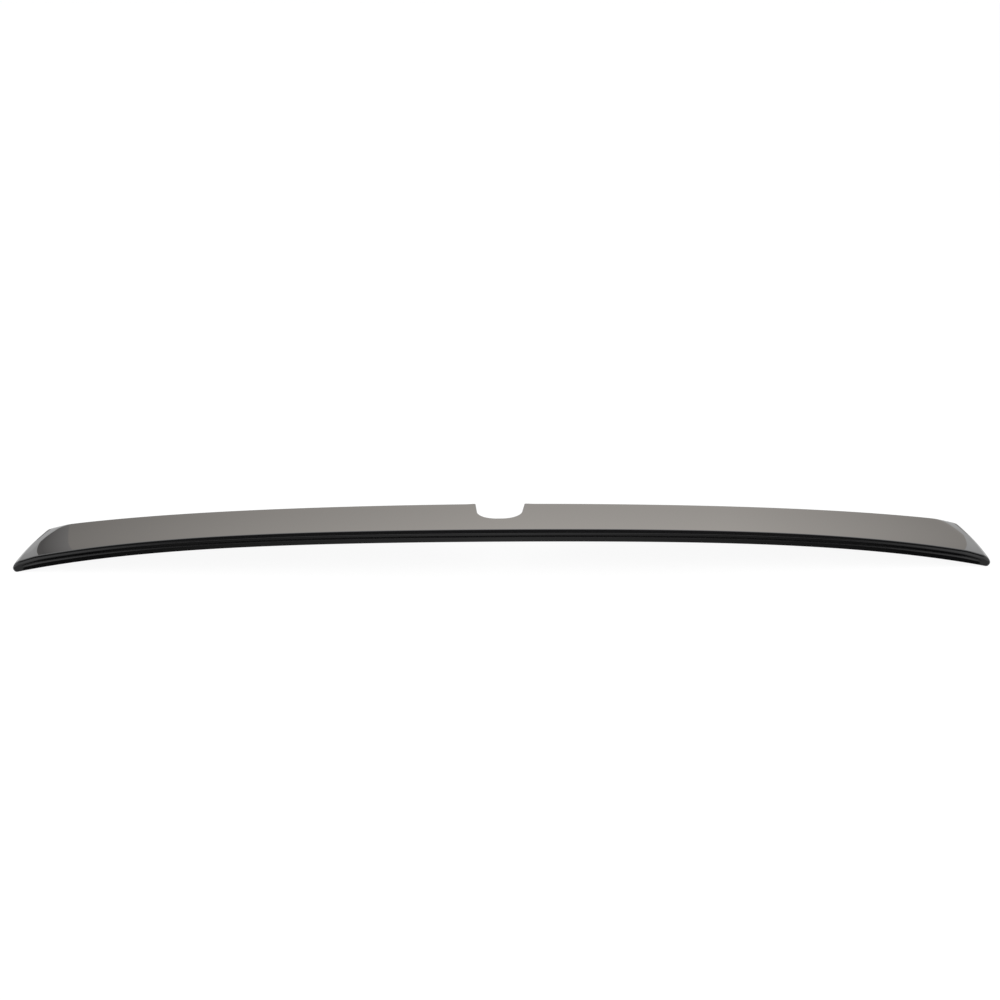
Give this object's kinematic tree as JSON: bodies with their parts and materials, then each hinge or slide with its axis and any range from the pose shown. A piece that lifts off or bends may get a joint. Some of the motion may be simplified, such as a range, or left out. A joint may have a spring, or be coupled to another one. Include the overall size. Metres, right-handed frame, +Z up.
{
  "type": "roof spoiler",
  "caption": "Low arched roof spoiler moulded in one piece, with a beaded trailing lip, turned-down ends, a pocketed underside and an aerial notch in the leading edge.",
  "frame": {"origin": "middle of the part's box, at the height of the surface that its two ends stand on", "axes": "+X to the car's right, +Y forward toward the leading edge and its notch, +Z up"},
  "size_m": [1.1792, 0.1476, 0.0719],
  "materials": {
    "gloss_black_paint": "black paint under clear coat, high gloss"
  },
  "bodies": {
    "root": {"spoiler_shell": "gloss_black_paint"}
  },
  "joints": []
}
